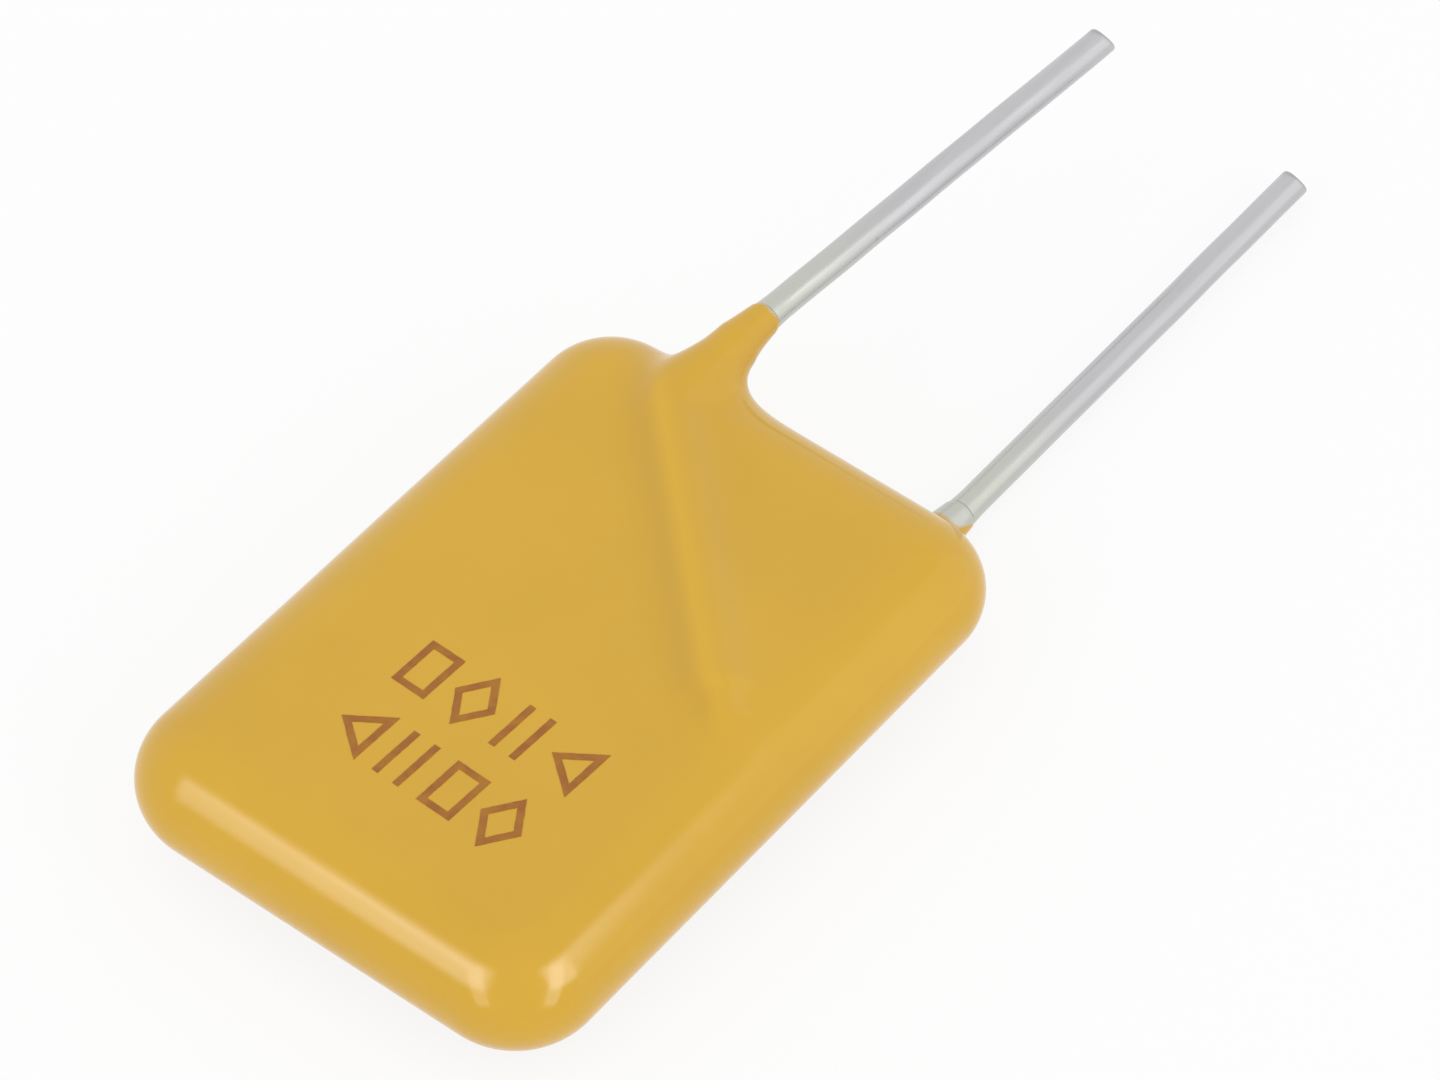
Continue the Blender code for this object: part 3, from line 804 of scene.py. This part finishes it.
class FUSE_OT_marks(bpy.types.Operator):
    """Stamp two rows of plain shapes on the front face"""

    bl_idname = "fuse.marks"
    bl_label = "Face marks"

    def execute(self, context):
        settings = context.scene.fuse_marks
        shape = bmesh.new()
        for y, first_x, kinds in MARK_ROWS:
            for index, kind in enumerate(kinds):
                centre = Vector((first_x + index * settings.pitch, y, 0))
                if kind == "bars":
                    bar_marks(shape, centre, settings)
                else:
                    outline_mark(shape, kind, centre, settings)
        for edge in [edge for edge in shape.edges if edge.calc_length() > 2 * MARK_EDGE]:
            bmesh.ops.subdivide_edges(shape, edges=[edge], cuts=round(edge.calc_length() / MARK_EDGE))
        middle = (0, (MARK_ROWS[0][0] + MARK_ROWS[1][0]) / 2, 0)
        bmesh.ops.rotate(shape, cent=middle, matrix=Matrix.Rotation(MARK_SLANT, 3, "Z"), verts=shape.verts)
        lay_ink(shape, context.scene.fuse_coat, settings.film)
        new_piece("face_marks", shape, ink_material(settings))
        return {"FINISHED"}


def lay_ink(shape, coat, film):
    """Roughen the outlines a little, lay them on the coat's waves and give them their thickness."""
    for vert in shape.verts:
        stray = noise.noise_vector(vert.co / JITTER_LENGTH)
        vert.co += Vector((stray.x, stray.y, 0)) * MARK_JITTER
        vert.co.z = BODY_THICKNESS
        vert.co.z += waves(vert.co, coat.wave_height, coat.wave_length)
    bmesh.ops.recalc_face_normals(shape, faces=shape.faces)
    grown = bmesh.ops.extrude_face_region(shape, geom=list(shape.faces), use_keep_orig=True)["geom"]
    tops = [item for item in grown if isinstance(item, bmesh.types.BMVert)]
    bmesh.ops.translate(shape, vec=(0, 0, film), verts=tops)
    bmesh.ops.recalc_face_normals(shape, faces=shape.faces)


# Inner pieces, and the finish of each: metallic share, sizes of the coarse and the fine grain, least and
# most roughness, and height of the grain

CORE_FINISHES = {
    "polymer": (0, 0.12 * MM, 0.03 * MM, 0.55, 0.70, 0.004 * MM),
    "nickel": (1, 0.08 * MM, 0.02 * MM, 0.30, 0.45, 0.003 * MM),
    "solder": (1, 0.20 * MM, 0.05 * MM, 0.20, 0.40, 0.006 * MM),
}
CORE_CLOUDS = 6                 # size of the clouds in coarse grains
CORE_DEEP = 0.8                 # brightness of the deeper tone against the lighter one


def core_material(name, colour, metallic, coarse, fine, smooth, rough, depth):
    material, tree, shader, place = new_material(name)
    deep = tuple(channel * CORE_DEEP for channel in colour)
    tone = use_group(tree, tone_group(), {
        "Place": place, "Scale": 1 / (CORE_CLOUDS * coarse), "Light": opaque(colour), "Deep": opaque(deep)})
    tree.links.new(tone.outputs["Colour"], shader.inputs["Base Color"])
    shader.inputs["Metallic"].default_value = metallic
    grain = use_group(tree, grain_group(), {
        "Place": place, "Coarse": 1 / coarse, "Fine": 1 / fine, "Fine share": 0.5,
        "Smooth": smooth, "Rough": rough})
    tree.links.new(grain.outputs["Roughness"], shader.inputs["Roughness"])
    bump(tree, shader, grain.outputs["Height"], depth)
    return material


class FUSE_OT_core(bpy.types.Operator):
    """Finish the slab, its foils and the solder joints"""

    bl_idname = "fuse.core"
    bl_label = "Slab, foils and solder"

    def execute(self, context):
        settings = context.scene.fuse_core
        dress("polymer_chip", core_material("carbon_polymer", settings.polymer, *CORE_FINISHES["polymer"]))
        nickel = core_material("nickel_plate", settings.nickel, *CORE_FINISHES["nickel"])
        solder = core_material("satin_solder", settings.solder, *CORE_FINISHES["solder"])
        for lead in (FRONT, BACK):
            dress(lead.name + "_foil", nickel)
            dress(lead.name + "_solder", solder)
        return {"FINISHED"}


# Stage

CAMERA_AIM = Vector((1.076, 3.590, 3.234)) * MM
CAMERA_AZIMUTH = math.radians(38.393)
CAMERA_ELEVATION = math.radians(49.480)
CAMERA_DISTANCE = 155.7 * MM
CAMERA_LENS = 197.62
CAMERA_CLIP = 10 * MM           # nothing nearer to the camera than this is seen
FLOOR_SIDES = 64
FLOOR_RADIUS = 120 * MM
FLOOR_FADE = 50 * MM            # from the middle to where the floor starts to fade
FLOOR_DROP = 0.004 * MM         # below the lowest point of the part
FLOOR_GLOW = 0.85               # share of plain white in the floor, for the camera and in reflections

# Soft boxes: azimuth, elevation, width, height and lean as angles in degrees seen from the part, share of
# the key, share of the half width over which a box fades at its sides, and distance in metres. On each
# side a tall strip leans in towards the camera, with a wide box close over its top. A faint screen at the
# back right shows in one half of each wire. Only the strips light the surfaces, and all show as highlights.
SOFT_BOXES = {
    "left_strip": (-8, 29, 20, 62, 34, 0.42, 0.35, 0.5),
    "left_box": (-17, 38, 46, 44, 20, 0.78, 0.68, 0.09),
    "right_strip": (88, 28, 20, 66, -34, 0.52, 0.35, 0.5),
    "right_box": (99, 37, 42, 44, -14, 0.80, 0.50, 0.09),
    "back_screen": (138, 20, 56, 59, 0, 0.05, 0.03, 0.5),
}
DIFFUSE_BOXES = ("left_strip", "right_strip")


def facing(azimuth, elevation):
    """Direction away from the object. Azimuth 0 is towards -Y and 90 towards +X."""
    return Vector((math.sin(azimuth) * math.cos(elevation), -math.cos(azimuth) * math.cos(elevation),
                   math.sin(elevation)))


def aim(thing, place, back, lean=0):
    """Put a camera or lamp at a place, looking against the given direction and turned about it."""
    upright = back.to_track_quat("Z", "Y").to_matrix().to_4x4()
    thing.matrix_world = Matrix.Translation(place) @ upright @ Matrix.Rotation(lean, 4, "Z")
    bpy.context.scene.collection.objects.link(thing)


def seen_white(tree):
    """1 for rays that see the background, straight on or in a reflection."""
    path = add(tree, "ShaderNodeLightPath").outputs
    seen = path["Is Camera Ray"]
    for kind in ("Is Glossy Ray", "Is Transmission Ray"):
        seen = add(tree, "ShaderNodeMath", {0: seen, 1: path[kind]}, operation="MAXIMUM").outputs[0]
    return seen


def floor_material(settings):
    """Pale floor that keeps the shadow, fades out at its rim and lets a view from below through."""
    material = bpy.data.materials.new("pale_floor")
    material.use_nodes = True
    tree = material.node_tree
    shader = tree.nodes["Principled BSDF"]
    shader.inputs["Base Color"].default_value = opaque(settings.floor_colour)
    shader.inputs["Roughness"].default_value = 1
    shader.inputs["Specular IOR Level"].default_value = 0
    white = add(tree, "ShaderNodeEmission", {"Color": (1, 1, 1, 1), "Strength": 1.0})
    share = add(tree, "ShaderNodeMath", {0: seen_white(tree), 1: FLOOR_GLOW}, operation="MULTIPLY")
    lit = add(tree, "ShaderNodeMixShader", {0: share.outputs[0], 1: shader.outputs[0], 2: white.outputs[0]})
    place = add(tree, "ShaderNodeTexCoord").outputs["Object"]
    away = add(tree, "ShaderNodeVectorMath", {0: place}, operation="LENGTH")
    fade = add(tree, "ShaderNodeMapRange", {
        "Value": away.outputs["Value"], "From Min": FLOOR_FADE, "From Max": FLOOR_RADIUS})
    below = add(tree, "ShaderNodeNewGeometry").outputs["Backfacing"]
    clear = add(tree, "ShaderNodeMath", {0: fade.outputs["Result"], 1: below}, operation="MAXIMUM")
    nothing = add(tree, "ShaderNodeBsdfTransparent")
    made = add(tree, "ShaderNodeMixShader", {0: clear.outputs[0], 1: lit.outputs[0], 2: nothing.outputs[0]})
    tree.links.new(made.outputs[0], tree.nodes["Material Output"].inputs["Surface"])
    return material


def make_world(settings):
    """Even light from all round, which looks plain white in itself."""
    world = bpy.data.worlds.new("studio")
    bpy.context.scene.world = world
    world.use_nodes = True
    tree = world.node_tree
    strength = add(tree, "ShaderNodeMapRange", {
        "Value": seen_white(tree), "To Min": settings.fill, "To Max": 1.0})
    tree.nodes["Background"].inputs["Color"].default_value = (1, 1, 1, 1)
    tree.links.new(strength.outputs["Result"], tree.nodes["Background"].inputs["Strength"])


def make_lamp(name, key, azimuth, elevation, width, height, lean, share, fade, distance):
    """A soft box that is as bright as its share of the key, however large and far away it is."""
    lamp = bpy.data.lights.new(name, "AREA")
    lamp.shape = "RECTANGLE"
    lamp.size = 2 * distance * math.tan(math.radians(width) / 2)
    lamp.size_y = 2 * distance * math.tan(math.radians(height) / 2)
    lamp.energy = key * share * math.pi * lamp.size * lamp.size_y
    soften_sides(lamp, fade)
    back = facing(math.radians(azimuth), math.radians(elevation))
    lamp_object = bpy.data.objects.new(name, lamp)
    lamp_object.visible_camera = False
    lamp_object.visible_diffuse = name in DIFFUSE_BOXES
    aim(lamp_object, back * distance, back, math.radians(lean))


def soften_sides(lamp, share):
    """Let a box fade towards its sides, as cloth stretched over a lamp does."""
    lamp.use_nodes = True
    tree = lamp.node_tree
    spot = add(tree, "ShaderNodeSeparateXYZ", {0: add(tree, "ShaderNodeNewGeometry").outputs["Parametric"]})
    strength = 1.0
    for side in ("X", "Y"):
        from_middle = add(tree, "ShaderNodeMath", {0: spot.outputs[side], 1: 0.5}, operation="SUBTRACT")
        away = add(tree, "ShaderNodeMath", {0: from_middle.outputs[0]}, operation="ABSOLUTE")
        fade = add(tree, "ShaderNodeMapRange", {
            "Value": away.outputs[0], "From Min": 0.5 * (1 - share), "From Max": 0.5,
            "To Min": 1.0, "To Max": 0.0}, interpolation_type="SMOOTHSTEP")
        strength = add(tree, "ShaderNodeMath", {0: fade.outputs["Result"], 1: strength},
                       operation="MULTIPLY").outputs[0]
    tree.links.new(strength, tree.nodes["Emission"].inputs["Strength"])


class FUSE_OT_stage(bpy.types.Operator):
    """Set up the floor, the soft boxes and the camera"""

    bl_idname = "fuse.stage"
    bl_label = "Studio"

    def execute(self, context):
        settings = context.scene.fuse_stage
        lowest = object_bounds()[0].z
        shape = bmesh.new()
        bmesh.ops.create_circle(shape, segments=FLOOR_SIDES, radius=FLOOR_RADIUS, cap_ends=True,
                                matrix=Matrix.Translation((0, 0, lowest - FLOOR_DROP)))
        mesh = bpy.data.meshes.new("floor")
        shape.to_mesh(mesh)
        shape.free()
        mesh.materials.append(floor_material(settings))
        floor = bpy.data.objects.new("floor", mesh)
        context.scene.collection.objects.link(floor)
        floor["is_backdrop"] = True
        make_world(settings)
        for name, values in SOFT_BOXES.items():
            make_lamp(name, settings.key, *values)
        camera = bpy.data.cameras.new("camera")
        camera.lens = CAMERA_LENS
        camera.sensor_fit = "HORIZONTAL"
        camera.clip_start = CAMERA_CLIP
        camera_object = bpy.data.objects.new("camera", camera)
        back = facing(CAMERA_AZIMUTH, CAMERA_ELEVATION)
        aim(camera_object, CAMERA_AIM + back * CAMERA_DISTANCE, back)
        context.scene.camera = camera_object
        context.scene.view_settings.view_transform = "Standard"
        return {"FINISHED"}


# Panel and registration

class FUSE_PT_looks(bpy.types.Panel):
    bl_label = "Fuse looks"
    bl_idname = "FUSE_PT_looks"
    bl_space_type = "VIEW_3D"
    bl_region_type = "UI"
    bl_category = "Fuse"

    def draw(self, context):
        for operator, (settings, _) in zip(OPERATORS, SETTINGS.items()):
            box = self.layout.box()
            box.operator(operator.bl_idname)
            group = getattr(context.scene, settings)
            for name in group.bl_rna.properties.keys()[2:]:
                box.prop(group, name)


OPERATORS = (FUSE_OT_coat, FUSE_OT_wires, FUSE_OT_marks, FUSE_OT_core, FUSE_OT_stage)
SETTINGS = {
    "fuse_coat": CoatSettings,
    "fuse_wires": WireSettings,
    "fuse_marks": MarkSettings,
    "fuse_core": CoreSettings,
    "fuse_stage": StageSettings,
}


def register():
    for item in (*SETTINGS.values(), *OPERATORS, FUSE_PT_looks):
        bpy.utils.register_class(item)
    for name, group in SETTINGS.items():
        setattr(bpy.types.Scene, name, bpy.props.PointerProperty(type=group))


def unregister():
    for name in SETTINGS:
        delattr(bpy.types.Scene, name)
    for item in reversed((*SETTINGS.values(), *OPERATORS, FUSE_PT_looks)):
        bpy.utils.unregister_class(item)


def main():
    register()
    bpy.ops.fuse.coat()
    bpy.ops.fuse.wires()
    bpy.ops.fuse.marks()
    bpy.ops.fuse.core()
    bpy.ops.fuse.stage()


if __name__ == "__main__":
    main()
